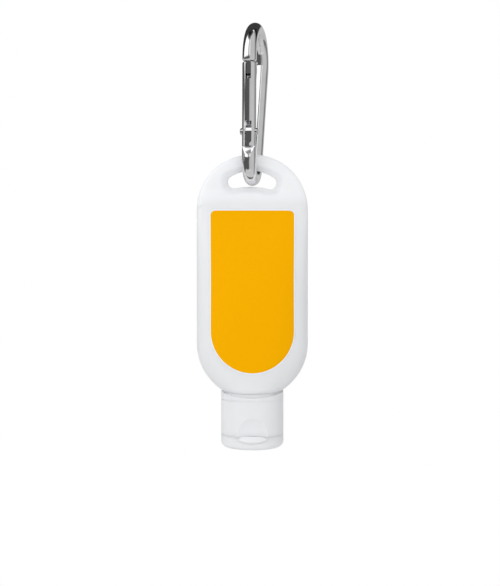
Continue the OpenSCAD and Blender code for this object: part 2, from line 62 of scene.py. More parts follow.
# Bottle: two arcs joined by straight sides from the front, swelling from a thin web round the eye
# to full depth below it
BODY_R = 22.25
BODY_STRAIGHT = 53.5
BODY_T = 26.0
WEB_T = 4.8
WEB_DROP = 1.0
WALL = 0.9
SHOULDER_R = 10.25
SHOULDER_ROUND = 2.6
NECK_R = 9.0
NECK_BORE_R = 7.6
BEAD_H = 0.35
BEAD_RISE = 3.0
HOLLOW_DROP = 4.1
BORE_DROP = 0.2

# Exponents of the wall's cross-section at the shoulder, at mid height and at the web, and of the
# swell in its depth
ROUND_SHARE = 2.0
PILLOW_SHARE = 2.7
FLAT_SHARE = 5.0
SWELL_SHARE = 1.1

# Seat ring under the cap's rim: its radius, its top above the shoulder and its foot below it, then
# how far each of its edges lies in and down
SEAT_R = 11.8
SEAT_TOP = 0.75
SEAT_L = 0.95
SEAT_EDGE_IN = 0.15
SEAT_EDGE_DROP = 0.2
SEAT_STEP_IN = 0.5
SEAT_STEP_DROP = 0.3
SEAT_FOOT_DROP = 2.4
SEAT_END_DROP = 2.6

# Eye: the slot, the strip of web over it, the radius of its lower edge and its turn, then the
# rounded lip and the shallow dish round it
EYE_W = 19.6
EYE_H = 6.45
EYE_STRIP = 6.5
EYE_SAG_R = 31.0
EYE_TILT = math.radians(1.5)
EYE_LIP_W = 0.7
EYE_LIP_SHARE = 0.38
DISH_START = 0.15
DISH_W = 3.2
DISH_W_ABOVE = 2.2
DISH_TURN = 0.8

# Bottle mesh: columns from side to side, with the angles of those nearest the sides, then lines
# round the eye, and points and rows of each part
COLUMNS = 64
SIDE_ANGLES = (0, 0.6, 1.7, 3.2)
NEXT_ANGLE = 5.2
ARC_LINES = 112
EYE_END_POINTS = 80
EYE_ARC_POINTS = 160
STRAIGHT_ROWS = 34
LOW_ROWS = 18
TURN_ROWS = 12
HOLLOW_TOP_ROWS = 7
LEAST_WIDTH = 1e-6

# Web mesh: distances of its rows from the eye's edge and from the outline
EYE_STEPS = np.array([0, 0.03, 0.1, 0.22, 0.38, 0.58, 0.8, 1.1, 1.5, 2.0, 2.6, 3.2])
OUTLINE_STEPS = np.array([1.9, 1.3, 0.85, 0.55, 0.32, 0.16, 0.06, 0.015, 0])
STRAIGHT_STRETCH = 2
LEAST_MIDDLE = 0.6
MIDDLE_STEPS = 8

# Labels: LABEL_TOP is the front label's distance below the bottle's top
LABEL_W = 33.4
LABEL_L = 64.8
LABEL_CORNER_R = 2.3
LABEL_TOP_SPREAD = 0.022
LABEL_TOP = 22.4
LABEL_BORDER = 0.45
BACK_LABEL_W = 30.0
BACK_LABEL_L = 50.0
FILM_T = 0.2
FILM_GAP = 0.02
FILM_EDGE_W = 0.06
FILM_EDGE_H = 0.05
LEAST_CORNER_R = 0.05
LEAST_STRAIGHT = 0.01

# Label mesh: points along its sides, its ends and its corners, and rings in its field
SIDE_POINTS = 26
END_POINTS = 18
CORNER_POINTS = 8
LOW_CORNER_POINTS = 24
FIELD_RINGS = 20

# Cap: the height of the lid's wall, how far the visible lid closes the parting gap, and the depth
# of the thumb scoop, whose shallow upper edge stays sharp
CAP_R = 12.5
LID_H = 4.9
PARTING_CLOSE = 0.27
PARTING_GAP = 0.3
SCOOP_DEPTH = 1.55
SCOOP_SHARP_ANGLE = 18
CAP_EDGE = 0.06
SAME_HEIGHT = 0.02

# Thumb lip: how far it stands out, falls and runs back, its half width, and its shelf, rise and
# top in the scoop. Two exponents say how it fades to its sides, in reach and in height.
LIP_OUT = 0.42
LIP_FALL = 1.5
LIP_LEAST_FALL = 0.05
LIP_L = 1.5
LIP_HALF_W = 6.7
LIP_SHELF = 0.45
LIP_RISE = 0.3
LIP_TOP = 0.04
LIP_CLEAR = 0.05
LIP_ROOT_L = 0.6
LIP_REACH_SHARE = 0.7
LIP_HEIGHT_SHARE = 0.45
LIP_SLOPE_STEPS = (0.3, 0.6, 0.85, 1.0)
LIP_SLOPE_SHARE = 1.1
LIP_SINK = 0.03
LIP_TIP_DROP = 0.04
LIP_BACK = 0.5
LIP_BACK_SHARE = 0.8
LIP_COLUMNS = 49
LIP_RETURN_ROWS = 14

# Living hinge: how thin its middle is, and its rows and columns
HINGE_THIN = 0.45
HINGE_ROWS = 24
HINGE_COLUMNS = 8

# Rounded edges, and the welding of copied solids
HOOK_EDGE = 0.12
RIVET_EDGE = 0.1
EDGE_SEGMENTS = 2
WELD = 0.002
FLAT_ANGLE = 0.4

# Camera: the photograph's focal length and place, level, looking along +Y
IMAGE_LONG_SIDE = 586
FOCAL_PIXELS = 850
SENSOR = 36.0
CAMERA_PLACE = (-0.000925, -0.342, -0.103979)
CLIP_START = 0.01
CLIP_END = 100

# Floor: half its width, its front edge and its height
FLOOR_HALF = 600.0
FLOOR_FRONT = -370.0
FLOOR_Z = -450.0
FLOOR_STEPS = 12

# Light: stops of (degrees, brightness). Azimuth 0 faces -Y and 90 faces +X, elevation 90 is up.
SOFT_ABOUT = (
    (-180, 0.85), (-120, 0.74), (-70, 1.0), (-30, 1.15), (10, 1.13), (50, 0.8), (100, 0.52),
    (150, 0.76), (180, 0.85),
)
SOFT_HEIGHT = ((-90, 0.5), (-40, 1.1), (-20, 1.07), (15, 1.06), (50, 1.1), (90, 0.95))

# What gloss shows: each layer has its brightness by azimuth, by elevation, and a level. They are
# the room in front, the wall behind to the right, the back to the left, a narrow strip, a white
# card above, a small lamp, and the ground.
GLOSS_LAYERS = (
    (
        (
            (-180, 0), (-98, 0), (-94, 0.1), (-6, 0.1), (10, 0.6), (60, 0.64), (84, 0.6), (92, 0.42),
            (101, 0.4), (104, 0), (180, 0),
        ),
        ((-90, 0), (-46, 0), (-38, 1), (66, 1), (74, 0.07), (90, 0.07)),
        1,
    ),
    (
        ((-180, 0), (101, 0), (104, 0.2), (121, 0.2), (129, 0.58), (180, 0.58)),
        ((-90, 0), (-46, 0), (-38, 1), (22, 1), (28, 0.08), (90, 0.08)),
        1,
    ),
    (
        ((-180, 1), (-100, 1), (-95, 0), (180, 0)),
        (
            (-90, 0), (-46, 0), (-38, 0.62), (-6, 0.58), (3, 0.3), (12, 0.13), (20, 0.05),
            (90, 0.045),
        ),
        1,
    ),
    (
        ((-180, 0), (-102, 0), (-97, 1), (-83, 1), (-78, 0), (180, 0)),
        ((-90, 0), (5.8, 0), (6.4, 1), (8.8, 0.9), (10.8, 0.1), (14, 0), (90, 0)),
        1,
    ),
    (
        (
            (-180, 0), (-99, 0), (-93, 1), (-24, 1), (-18, 0.15), (-13, 0.15), (-7, 0.6), (6, 0.45),
            (14, 0), (180, 0),
        ),
        ((-90, 0), (13.5, 0), (15.5, 1), (55, 1), (63, 0), (90, 0)),
        1.3,
    ),
    (
        ((-180, 0), (91, 0), (96, 1), (107, 1), (112, 0), (180, 0)),
        ((-90, 0), (62, 0), (66, 1), (74, 1), (79, 0), (90, 0)),
        1,
    ),
    (
        ((-180, 1), (180, 1)),
        ((-90, 0.85), (-46, 0.85), (-36, 0), (90, 0)),
        1,
    ),
)

# Heights that follow from the bottle's solid
BODY_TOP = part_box("bottle_shell")[1].z / MM
NECK_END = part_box("bottle_shell")[0].z / MM
TOP_ARC = BODY_TOP - BODY_R
LOW_ARC = TOP_ARC - BODY_STRAIGHT
SHOULDER = LOW_ARC - math.sqrt(BODY_R**2 - SHOULDER_R**2)
EYE_TOP = BODY_TOP - EYE_STRIP
EYE_LOW = EYE_TOP - EYE_H
EYE_MIDDLE = (EYE_TOP + EYE_LOW) / 2
WEB_END = EYE_LOW - WEB_DROP
HOLLOW_TOP = EYE_LOW - HOLLOW_DROP
HOLLOW_LOW = SHOULDER + WALL


# Shape of the bottle's wall


def ease(t):
    """Smooth step from 0 to 1."""
    t = np.clip(t, 0, 1)
    return t * t * (3 - 2 * t)


def half_width(z):
    past_arc = np.maximum(0, np.maximum(z - TOP_ARC, LOW_ARC - z))
    return np.sqrt(np.maximum(0, BODY_R**2 - past_arc**2))


def full_depth(z):
    """Distance of the wall from the middle plane, half way across, at height z."""
    below_web = np.clip((WEB_END - z) / (WEB_END - LOW_ARC), 0, 1)
    swell = np.sin(QUARTER * below_web) ** SWELL_SHARE
    return WEB_T / 2 + (BODY_T - WEB_T) / 2 * swell


def low_fall(z):
    """How far the wall falls in where it turns into the shoulder."""
    past_turn = np.clip(SHOULDER + SHOULDER_ROUND - z, 0, SHOULDER_ROUND)
    return SHOULDER_ROUND - np.sqrt(SHOULDER_ROUND**2 - past_turn**2)


def fullness(z):
    """Exponent of the wall's cross-section at height z."""
    rise = (z - SHOULDER) / (LOW_ARC - SHOULDER)
    flat_start = LOW_ARC + BODY_STRAIGHT / 3
    flat = (z - flat_start) / (EYE_LOW - flat_start)
    pillow = ROUND_SHARE + (PILLOW_SHARE - ROUND_SHARE) * ease(rise)
    return pillow + (FLAT_SHARE - PILLOW_SHARE) * ease(flat)


def wall_depth(x, z):
    """Distance of the outer wall from the bottle's middle plane at (x, z)."""
    up = z - TOP_ARC
    width = np.maximum(half_width(z), LEAST_WIDTH)
    from_middle = np.where(up > 0, np.sqrt(x**2 + up**2) / BODY_R, np.abs(x) / width)
    n = fullness(z)
    rounding = np.maximum(0, 1 - np.minimum(from_middle, 1) ** n) ** (1 / n)
    return (full_depth(z) - low_fall(z)) * rounding


# Mesh helpers


def arc(x, z, r, start, end, count):
    """Points on an arc in the front plane, both ends included, angles in radians."""
    angles = np.linspace(start, end, count)
    return np.stack([x + r * np.cos(angles), z + r * np.sin(angles)], axis=1)


def resample(line, shares):
    """Points at the given shares of a polyline's length."""
    steps = np.linalg.norm(np.diff(line, axis=0), axis=1)
    run = np.concatenate([[0], np.cumsum(steps)])
    run /= run[-1]
    return np.stack([np.interp(shares, run, line[:, i]) for i in range(line.shape[1])], axis=1)


def closed_ring(x, depth, z):
    """Ring at height z: from left to right over the front, and back behind."""
    level = np.full(len(x), z)
    front = np.stack([x, -depth, level], axis=1)
    back = np.stack([x, depth, level], axis=1)[::-1]
    return np.concatenate([front, back[1:-1]])


def ring_faces(rings, count, start=0):
    """Faces between neighbouring closed rings of count points, the first point being start."""
    faces = []
    for i in range(rings - 1):
        this = start + i * count
        following = this + count
        for j in range(count):
            k = (j + 1) % count
            faces.append([this + j, this + k, following + k, following + j])
    return faces


def shade_smooth(mesh, sharp_angle):
    mesh.polygons.foreach_set("use_smooth", [True] * len(mesh.polygons))
    if sharp_angle is not None:
        mesh.set_sharp_from_angle(angle=math.radians(sharp_angle))


def finish_mesh(mesh, weld, sharp_angle=None):
    """Welds a mesh, turns its faces outwards and shades it smooth, apart from sharp edges."""
    bm = bmesh.new()
    bm.from_mesh(mesh)
    bmesh.ops.remove_doubles(bm, verts=bm.verts, dist=weld * MM)
    bmesh.ops.dissolve_degenerate(bm, edges=bm.edges, dist=weld * MM)
    bmesh.ops.recalc_face_normals(bm, faces=bm.faces)
    bm.to_mesh(mesh)
    bm.free()
    shade_smooth(mesh, sharp_angle)
    mesh.update()


def new_mesh(name, points, faces):
    mesh = bpy.data.meshes.new(name)
    mesh.from_pydata([tuple(p) for p in np.asarray(points, float) * MM], [], faces)
    return mesh


def new_object(name, data):
    thing = bpy.data.objects.new(name, data)
    bpy.context.scene.collection.objects.link(thing)
    return thing


def new_piece(name, points, faces, weld=0.001, sharp_angle=None):
    mesh = new_mesh(name, points, faces)
    finish_mesh(mesh, weld, sharp_angle)
    return new_object(name, mesh)


def refined(name, node, edge, sharp_angle=35):
    """A copy of a CAD node's shape with welded faces and softly rounded edges."""
    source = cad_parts[node].data
    mesh = bpy.data.meshes.new(name)
    bm = bmesh.new()
    bm.from_mesh(source)
    bmesh.ops.remove_doubles(bm, verts=bm.verts, dist=WELD * MM)
    flat = math.radians(FLAT_ANGLE)
    bmesh.ops.dissolve_limit(bm, angle_limit=flat, verts=bm.verts, edges=bm.edges)
    bm.to_mesh(mesh)
    bm.free()
    for layer in ("custom_normal", "UVMap"):
        if layer in mesh.attributes:
            mesh.attributes.remove(mesh.attributes[layer])
    shade_smooth(mesh, sharp_angle)
    piece = new_object(name, mesh)
    rounding = piece.modifiers.new("rounded edges", "BEVEL")
    rounding.width = edge * MM
    rounding.segments = EDGE_SEGMENTS
    rounding.limit_method = "ANGLE"
    rounding.angle_limit = math.radians(sharp_angle)
    rounding.harden_normals = True
    rounding.loop_slide = False
    rounding.miter_outer = "MITER_ARC"
    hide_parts(node)
    return piece


# Material helpers


def new_material(name, colour, roughness, metallic=0.0):
    material = bpy.data.materials.new(name)
    material.use_nodes = True
    tree = material.node_tree
    tree.nodes.clear()
    output = tree.nodes.new("ShaderNodeOutputMaterial")
    shader = tree.nodes.new("ShaderNodeBsdfPrincipled")
    shader.inputs["Base Color"].default_value = (*colour, 1)
    shader.inputs["Roughness"].default_value = roughness
    shader.inputs["Metallic"].default_value = metallic
    tree.links.new(shader.outputs["BSDF"], output.inputs["Surface"])
    return material, tree, shader


def noise(tree, scale, detail, stretch=(1, 1, 1)):
    """Noise in the piece's own coordinates, scale in waves per metre."""
    place = tree.nodes.new("ShaderNodeTexCoord")
    mapping = tree.nodes.new("ShaderNodeMapping")
    mapping.inputs["Scale"].default_value = stretch
    texture = tree.nodes.new("ShaderNodeTexNoise")
    texture.inputs["Scale"].default_value = scale
    texture.inputs["Detail"].default_value = detail
    tree.links.new(place.outputs["Object"], mapping.inputs["Vector"])
    tree.links.new(mapping.outputs["Vector"], texture.inputs["Vector"])
    return texture.outputs["Fac"]


def spread(tree, value, from_low, from_high, to_low, to_high):
    node = tree.nodes.new("ShaderNodeMapRange")
    node.inputs["From Min"].default_value = from_low
    node.inputs["From Max"].default_value = from_high
    node.inputs["To Min"].default_value = to_low
    node.inputs["To Max"].default_value = to_high
    tree.links.new(value, node.inputs["Value"])
    return node.outputs["Result"]


def tint(tree, factor, first, second):
    node = tree.nodes.new("ShaderNodeMix")
    node.data_type = "RGBA"
    node.inputs["A"].default_value = (*first, 1)
    node.inputs["B"].default_value = (*second, 1)
    tree.links.new(factor, node.inputs["Factor"])
    return node.outputs["Result"]


def add_mottle(tree, shader, value, low, high, colour, deeper):
    """Lets the colour go from colour to deeper as value goes from low to high."""
    share = spread(tree, value, low, high, 0, 1)
    tree.links.new(tint(tree, share, colour, deeper), shader.inputs["Base Color"])


def add_dullness(tree, shader, value, low, high, low_rough, high_rough):
    """Lets the roughness go from low_rough to high_rough as value goes from low to high."""
    rough = spread(tree, value, low, high, low_rough, high_rough)
    tree.links.new(rough, shader.inputs["Roughness"])


def add_bump(tree, shader, layers):
    """Adds bumps one on the other. A layer is (height, depth in mm, strength)."""
    normal = None
    for height, depth, strength in layers:
        node = tree.nodes.new("ShaderNodeBump")
        node.inputs["Distance"].default_value = depth * MM
        node.inputs["Strength"].default_value = strength
        tree.links.new(height, node.inputs["Height"])
        if normal is not None:
            tree.links.new(normal, node.inputs["Normal"])
        normal = node.outputs["Normal"]
    tree.links.new(normal, shader.inputs["Normal"])


def moulded_plastic(name, colour, deeper, roughness, grain_depth):
    """White moulded plastic: clouded a little, with fine grain, soft waves and a few scuffs."""
    material, tree, shader = new_material(name, colour, roughness)
    clouds = noise(tree, scale=45, detail=3)
    grain = noise(tree, scale=2600, detail=2)
    waves = noise(tree, scale=120, detail=2)
    scuffs = noise(tree, scale=420, detail=6, stretch=(1, 1, 0.12))
    add_mottle(tree, shader, clouds, 0.35, 0.65, colour, deeper)
    add_dullness(tree, shader, scuffs, 0.42, 0.72, roughness - 0.04, roughness + 0.1)
    add_bump(tree, shader, [(waves, 0.12, 0.25), (grain, grain_depth, 0.3)])
    shader.inputs["Subsurface Weight"].default_value = 0.5
    shader.inputs["Subsurface Radius"].default_value = (1.0, 0.98, 0.95)
    shader.inputs["Subsurface Scale"].default_value = 2.5 * MM
    return material


def film(name, colour, deeper, roughness, specular):
    """Label film: an even ink with a faint mottle, smooth, with slight ripples and rubbed streaks."""
    material, tree, shader = new_material(name, colour, roughness)
    mottle = noise(tree, scale=900, detail=5)
    ripple = noise(tree, scale=90, detail=2)
    rub = noise(tree, scale=300, detail=6, stretch=(1, 1, 0.2))
    add_mottle(tree, shader, mottle, 0.3, 0.7, colour, deeper)
    add_dullness(tree, shader, rub, 0.4, 0.75, roughness - 0.03, roughness + 0.12)
    shader.inputs["Specular IOR Level"].default_value = specular
    shader.inputs["Specular Tint"].default_value = (*colour, 1)
    add_bump(tree, shader, [(ripple, 0.1, 0.2), (mottle, 0.004, 0.3)])
    return material


def metal(name, colour, deeper, low_rough, high_rough, scratch_depth, stretch):
    """Metal with hairline scratches and small duller patches."""
    material, tree, shader = new_material(name, colour, low_rough, metallic=1.0)
    patches = noise(tree, scale=160, detail=5)
    hairlines = noise(tree, scale=1500, detail=3, stretch=stretch)
    add_mottle(tree, shader, patches, 0.45, 0.75, colour, deeper)
    add_dullness(tree, shader, patches, 0.4, 0.8, low_rough, high_rough)
    add_bump(tree, shader, [(hairlines, scratch_depth, 0.3)])
    return material


def wear(piece, *materials):
    """Gives a piece its materials. With more than one, each face keeps its own."""
    faces = [p.material_index for p in piece.data.polygons]
    piece.data.materials.clear()
    for material in materials:
        piece.data.materials.append(material)
    if len(materials) > 1:
        piece.data.polygons.foreach_set("material_index", faces)


# Materials

CHROME = metal(
    "chrome plating", (0.8, 0.8, 0.81), (0.72, 0.72, 0.73),
    low_rough=0.05, high_rough=0.12, scratch_depth=0.002, stretch=(1, 1, 0.05),
)
STEEL = metal(
    "steel", (0.62, 0.62, 0.63), (0.5, 0.5, 0.5),
    low_rough=0.2, high_rough=0.35, scratch_depth=0.004, stretch=(1, 1, 1),
)
BOTTLE_WHITE = moulded_plastic(
    "white blown plastic", (0.85, 0.86, 0.88), (0.835, 0.845, 0.865), roughness=0.36, grain_depth=0.006
)
CAP_WHITE = moulded_plastic(
    "white cap plastic", (0.84, 0.85, 0.87), (0.825, 0.835, 0.855), roughness=0.32, grain_depth=0.005
)
LABEL_ORANGE = film(
    "orange label film", (0.885, 0.415, 0.001), (0.87, 0.401, 0.001), roughness=0.34, specular=0.2
)
LABEL_PALE = film(
    "pale label border", (0.81, 0.9, 0.99), (0.79, 0.885, 0.975), roughness=0.34, specular=0.3
)
LABEL_WHITE = film(
    "white label film", (0.78, 0.78, 0.77), (0.76, 0.76, 0.75), roughness=0.4, specular=0.3
)


# Bottle


def eye_edge():
    """The eye's edge as two dense lines: from the lower right joint over the top to the lower left
    joint, and back along the lower arc."""
    upper_r = BODY_R - EYE_STRIP
    arc_z = TOP_ARC - EYE_MIDDLE
    sag_z = EYE_LOW - EYE_SAG_R - EYE_MIDDLE
    # The round ends touch both long arcs and the eye's full width, which gives their radius
    apart = arc_z - sag_z
    rise = (upper_r + EYE_SAG_R) / apart
    base = ((upper_r + EYE_SAG_R) * (EYE_SAG_R - upper_r) + arc_z**2 - sag_z**2) / (2 * apart) - arc_z
    b = rise * base - EYE_W / 2 + upper_r
    c = EYE_W**2 / 4 + base**2 - upper_r**2
    end_r = (math.sqrt(b * b - rise * rise * c) - b) / rise**2
    end_x = EYE_W / 2 - end_r
    end_z = arc_z + base + rise * end_r
    top_a = math.atan2(end_x, end_z - arc_z)
    low_a = math.atan2(end_x, end_z - sag_z)
    over = np.concatenate([
        arc(end_x, end_z, end_r, -QUARTER - low_a, QUARTER - top_a, EYE_END_POINTS),
        arc(0, arc_z, upper_r, QUARTER - top_a, QUARTER + top_a, EYE_ARC_POINTS)[1:],
        arc(-end_x, end_z, end_r, QUARTER + top_a, 3 * QUARTER + low_a, EYE_END_POINTS)[1:],
    ])
    under = arc(0, sag_z, EYE_SAG_R, QUARTER + low_a, QUARTER - low_a, EYE_ARC_POINTS)
    cos, sin = math.cos(EYE_TILT), math.sin(EYE_TILT)
    turn = np.array([[cos, -sin], [sin, cos]])
    return [line @ turn + [0, EYE_MIDDLE] for line in (over, under)]


def column_shares():
    """Places across the bottle from -1 to 1, closest together near its sides."""
    others = np.linspace(NEXT_ANGLE, 90, COLUMNS // 2 - len(SIDE_ANGLES) + 1)
    half = np.cos(np.radians(np.concatenate([SIDE_ANGLES, others])))
    return np.concatenate([-half, half[-2::-1]])


def web_grid(shares):
    """Grid of (x, z) from the eye's edge to the web's outline, one row per line, and its depths."""
    over, under = eye_edge()
    inner = np.concatenate([
        resample(over, np.linspace(0, 1, ARC_LINES + 1)),
        resample(under, np.linspace(0, 1, len(shares)))[1:-1],
    ])
    outer = np.concatenate([
        arc(0, TOP_ARC, BODY_R, 0, math.pi, ARC_LINES + 1),
        np.stack([shares * BODY_R, np.full(len(shares), TOP_ARC)], axis=1)[1:-1],
    ])
    reach = np.linalg.norm(outer - inner, axis=1)
    direction = (outer - inner) / reach[:, None]
    on_arc = np.arange(len(inner)) <= ARC_LINES
    least = EYE_STEPS[-1] + OUTLINE_STEPS[0] + LEAST_MIDDLE
    grid = []
    for i, length in enumerate(reach):
        squeeze = min(1, length / least)
        last = OUTLINE_STEPS if on_arc[i] else OUTLINE_STEPS * STRAIGHT_STRETCH
        middle_start = EYE_STEPS[-1] * squeeze
        middle = np.linspace(middle_start, length - last[0] * squeeze, MIDDLE_STEPS)[1:-1]
        steps = np.concatenate([EYE_STEPS * squeeze, middle, length - last * squeeze])
        grid.append(inner[i] + direction[i] * steps[:, None])
    grid = np.array(grid)
    edge_line = np.concatenate([over, under])
    away = np.sqrt(((grid[:, :, None, :] - edge_line[None, None]) ** 2).sum(-1)).min(-1)
    above = ease(direction[:, 1] / DISH_TURN)
    dish_w = (DISH_W + (DISH_W_ABOVE - DISH_W) * above)[:, None]
    lip = EYE_LIP_SHARE * np.sqrt(1 - (1 - np.minimum(away / EYE_LIP_W, 1)) ** 2)
    dish = (1 - EYE_LIP_SHARE) * ease((away - DISH_START) / (dish_w - DISH_START))
    depth = wall_depth(grid[:, :, 0], grid[:, :, 1]) * (lip + dish)
    depth[:, 0] = 0
    depth[: ARC_LINES + 1, -1] = 0
    return grid, depth


def ring_rows():
    """Heights of the body's rows below the web, from the web down to the shoulder."""
    straight = np.linspace(TOP_ARC, LOW_ARC, STRAIGHT_ROWS)
    turn_a = math.asin((LOW_ARC - (SHOULDER + SHOULDER_ROUND)) / BODY_R)
    low = LOW_ARC - BODY_R * np.sin(np.linspace(0, turn_a, LOW_ROWS))[1:]
    turn = 1 - np.cos(np.radians(np.linspace(90, 0, TURN_ROWS)))
    return np.concatenate([straight, low, SHOULDER + SHOULDER_ROUND * turn[1:]])


def body_ring(z, shares):
    x = shares * half_width(z)
    depth = wall_depth(x, np.full(len(x), z))
    depth[[0, -1]] = 0
    return closed_ring(x, depth, z)


def round_ring(r, z, shares):
    return closed_ring(shares * r, r * np.sqrt(np.maximum(0, 1 - shares**2)), z)


def hollow_ring(z, shares):
    """Ring round the hollow at height z, a wall's thickness inside the body."""
    past_arc = max(0, z - TOP_ARC, LOW_ARC - z)
    width = math.sqrt((BODY_R - WALL) ** 2 - past_arc**2)
    deepest = min(full_depth(z) - low_fall(z) - WALL, HOLLOW_TOP - z)
    n = fullness(z)
    depth = deepest * np.maximum(0, 1 - np.abs(shares) ** n) ** (1 / n)
    return closed_ring(shares * width, depth, z)


def neck_profile():
    """(radius, height) down the seat ring and the neck's outside, and back up its bore."""
    seat_low = SHOULDER - SEAT_L
    bead_z = NECK_END + BEAD_RISE
    return (
        (SEAT_R - SEAT_EDGE_IN, SHOULDER + SEAT_TOP),
        (SEAT_R, SHOULDER + SEAT_TOP - SEAT_EDGE_DROP),
        (SEAT_R, seat_low),
        (SEAT_R - SEAT_STEP_IN, seat_low - SEAT_STEP_DROP),
        (SEAT_R - SEAT_STEP_IN, seat_low - SEAT_FOOT_DROP),
        (NECK_R, seat_low - SEAT_END_DROP),
        (NECK_R, bead_z + 2 * BEAD_H),
        (NECK_R + BEAD_H, bead_z),
        (NECK_R, bead_z - 2 * BEAD_H),
        (NECK_R, NECK_END),
        (NECK_BORE_R, NECK_END),
        (NECK_BORE_R, HOLLOW_LOW - BORE_DROP),
    )


def make_bottle():
    """Web with the eye, body, seat ring and neck, and the hollow with its mouth, as one wall."""
    shares = column_shares()
    grid, depth = web_grid(shares)
    lines, steps = depth.shape
    points = []
    faces = []
    for side in (-1, 1):
        start = len(points)
        for i in range(lines):
            for j in range(steps):
                points.append((grid[i, j, 0], side * depth[i, j], grid[i, j, 1]))
        for i in range(lines):
            this = start + i * steps
            following = start + (i + 1) % lines * steps
            for j in range(steps - 1):
                faces.append([this + j, this + j + 1, following + j + 1, following + j])
    rings = [body_ring(z, shares) for z in ring_rows()]
    rings += [round_ring(r, z, shares) for r, z in neck_profile()]
    for z in ring_rows()[::-1]:
        if HOLLOW_LOW + WALL < z < HOLLOW_TOP - WALL:
            rings.append(hollow_ring(z, shares))
    for z in np.linspace(TOP_ARC, HOLLOW_TOP, HOLLOW_TOP_ROWS)[1:]:
        rings.append(hollow_ring(z, shares))
    faces += ring_faces(len(rings), len(rings[0]), start=len(points))
    for ring in rings:
        points.extend(map(tuple, ring))
    piece = new_piece("bottle_body", points, faces, weld=WELD, sharp_angle=50)
    wear(piece, BOTTLE_WHITE)
    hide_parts("bottle_shell")
    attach(piece, "bottle")


# Labels


def label_outline(width, top, low, corner_r, low_r, inset):
    """Outline of a label with round corners, inset by a border, anticlockwise from the lower right."""
    half = width / 2 - inset
    r_top = max(corner_r - inset, LEAST_CORNER_R)
    r_low = low_r - inset
    top -= inset
    low += inset
    along = np.linspace(0, 1, SIDE_POINTS)[1:-1, None]
    across = np.linspace(0, 1, END_POINTS)[1:-1, None]
    right_low = np.array([half, low + r_low])
    right_top = np.array([half, top - r_top])
    left_top = right_top * [-1, 1]
    left_low = right_low * [-1, 1]
    top_half = half - r_top
    low_half = half - r_low
    parts = [
        right_low + (right_top - right_low) * along,
        arc(top_half, top - r_top, r_top, 0, QUARTER, CORNER_POINTS),
        np.array([top_half, top]) + np.array([-2 * top_half, 0]) * across,
        arc(-top_half, top - r_top, r_top, QUARTER, 2 * QUARTER, CORNER_POINTS),
        left_top + (left_low - left_top) * along,
        arc(-low_half, low + r_low, r_low, 2 * QUARTER, 3 * QUARTER, LOW_CORNER_POINTS),
    ]
    if low_half > LEAST_STRAIGHT:
        parts.append(np.array([-low_half, low]) + np.array([2 * low_half, 0]) * across)
    parts.append(arc(low_half, low + r_low, r_low, 3 * QUARTER, 4 * QUARTER, LOW_CORNER_POINTS)[1:])
    return np.concatenate(parts)


def make_label(name, side, width, top, low, corner_r, low_r, top_spread=0.0):
    """Thin film that follows the wall, on the front (-1) or the back (1), a little wider at its top.
    Its first faces are the border ring, the rest its field."""
    insets = (0, FILM_EDGE_W, LABEL_BORDER / 2, LABEL_BORDER)
    rims = [label_outline(width, top, low, corner_r, low_r, inset) for inset in insets]
    for rim in rims:
        rim[:, 0] *= 1 + top_spread * ease((rim[:, 1] - low) / (top - low) * 2 - 1)
    field = rims[-1]
    core_low, core_high = sorted((low + width / 2, top - width / 2))
    core = np.stack([np.zeros(len(field)), np.clip(field[:, 1], core_low, core_high)], axis=1)
    shrinks = [k / FIELD_RINGS for k in range(1, FIELD_RINGS + 1)]
    rings = rims + [field + (core - field) * shrink for shrink in shrinks]
    outsides = [FILM_T - FILM_EDGE_H] + [FILM_T] * (len(rings) - 1)
    points = []
    for rises in (outsides, [FILM_GAP] * len(rings)):
        for ring, rise in zip(rings, rises):
            depth = wall_depth(ring[:, 0], ring[:, 1]) + rise
            points.extend(zip(ring[:, 0], side * depth, ring[:, 1]))
    count = len(field)
    below = len(rings) * count
    faces = []
    border_faces = 0
    for j in range(count):
        k = (j + 1) % count
        faces.append([j, k, below + k, below + j])
    for i in range(len(rings) - 1):
        this = i * count
        following = this + count
        for j in range(count):
            k = (j + 1) % count
            upper = [this + j, this + k, following + k, following + j]
            faces.append(upper)
            faces.append([below + upper[n] for n in (0, 3, 2, 1)])
        if i == len(rims) - 2:
            border_faces = len(faces)
    mesh = new_mesh(name, points, faces)
    slots = [0] * border_faces + [1] * (len(faces) - border_faces)
    mesh.polygons.foreach_set("material_index", slots)
    finish_mesh(mesh, WELD, sharp_angle=40)
    return new_object(name, mesh)


def make_front_label():
    top = BODY_TOP - LABEL_TOP
    low = top - LABEL_L
    piece = make_label(
        "front_film", -1, LABEL_W, top, low,
        corner_r=LABEL_CORNER_R, low_r=LABEL_W / 2, top_spread=LABEL_TOP_SPREAD,
    )
    wear(piece, LABEL_PALE, LABEL_ORANGE)
    # The polished hook shows the white wall where the label would be
    piece.visible_glossy = False
    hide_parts("front_label")
    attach(piece, "bottle")


def make_back_label():
    middle = BODY_TOP - LABEL_TOP - LABEL_L / 2
    top = middle + BACK_LABEL_L / 2
    low = middle - BACK_LABEL_L / 2
    piece = make_label(
        "back_film", 1, BACK_LABEL_W, top, low, corner_r=LABEL_CORNER_R, low_r=LABEL_CORNER_R
    )
    wear(piece, LABEL_WHITE, LABEL_WHITE)
    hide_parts("back_label")
    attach(piece, "bottle")


# Cap


def make_cap():
    """Collar and lid, with the lid's top plane raised to all but close the parting gap."""
    collar = refined("cap_body", "cap_collar", CAP_EDGE, sharp_angle=SCOOP_SHARP_ANGLE)
    lid = refined("cap_lid_shell", "cap_lid", CAP_EDGE)
    lid_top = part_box("cap_lid")[0].z + LID_H * MM
    for vertex in lid.data.vertices:
        if abs(vertex.co.z - lid_top) < SAME_HEIGHT * MM:
            vertex.co.z += PARTING_CLOSE * MM
    for piece, body in ((collar, "bottle"), (lid, "lid")):
        wear(piece, CAP_WHITE)
        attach(piece, body)


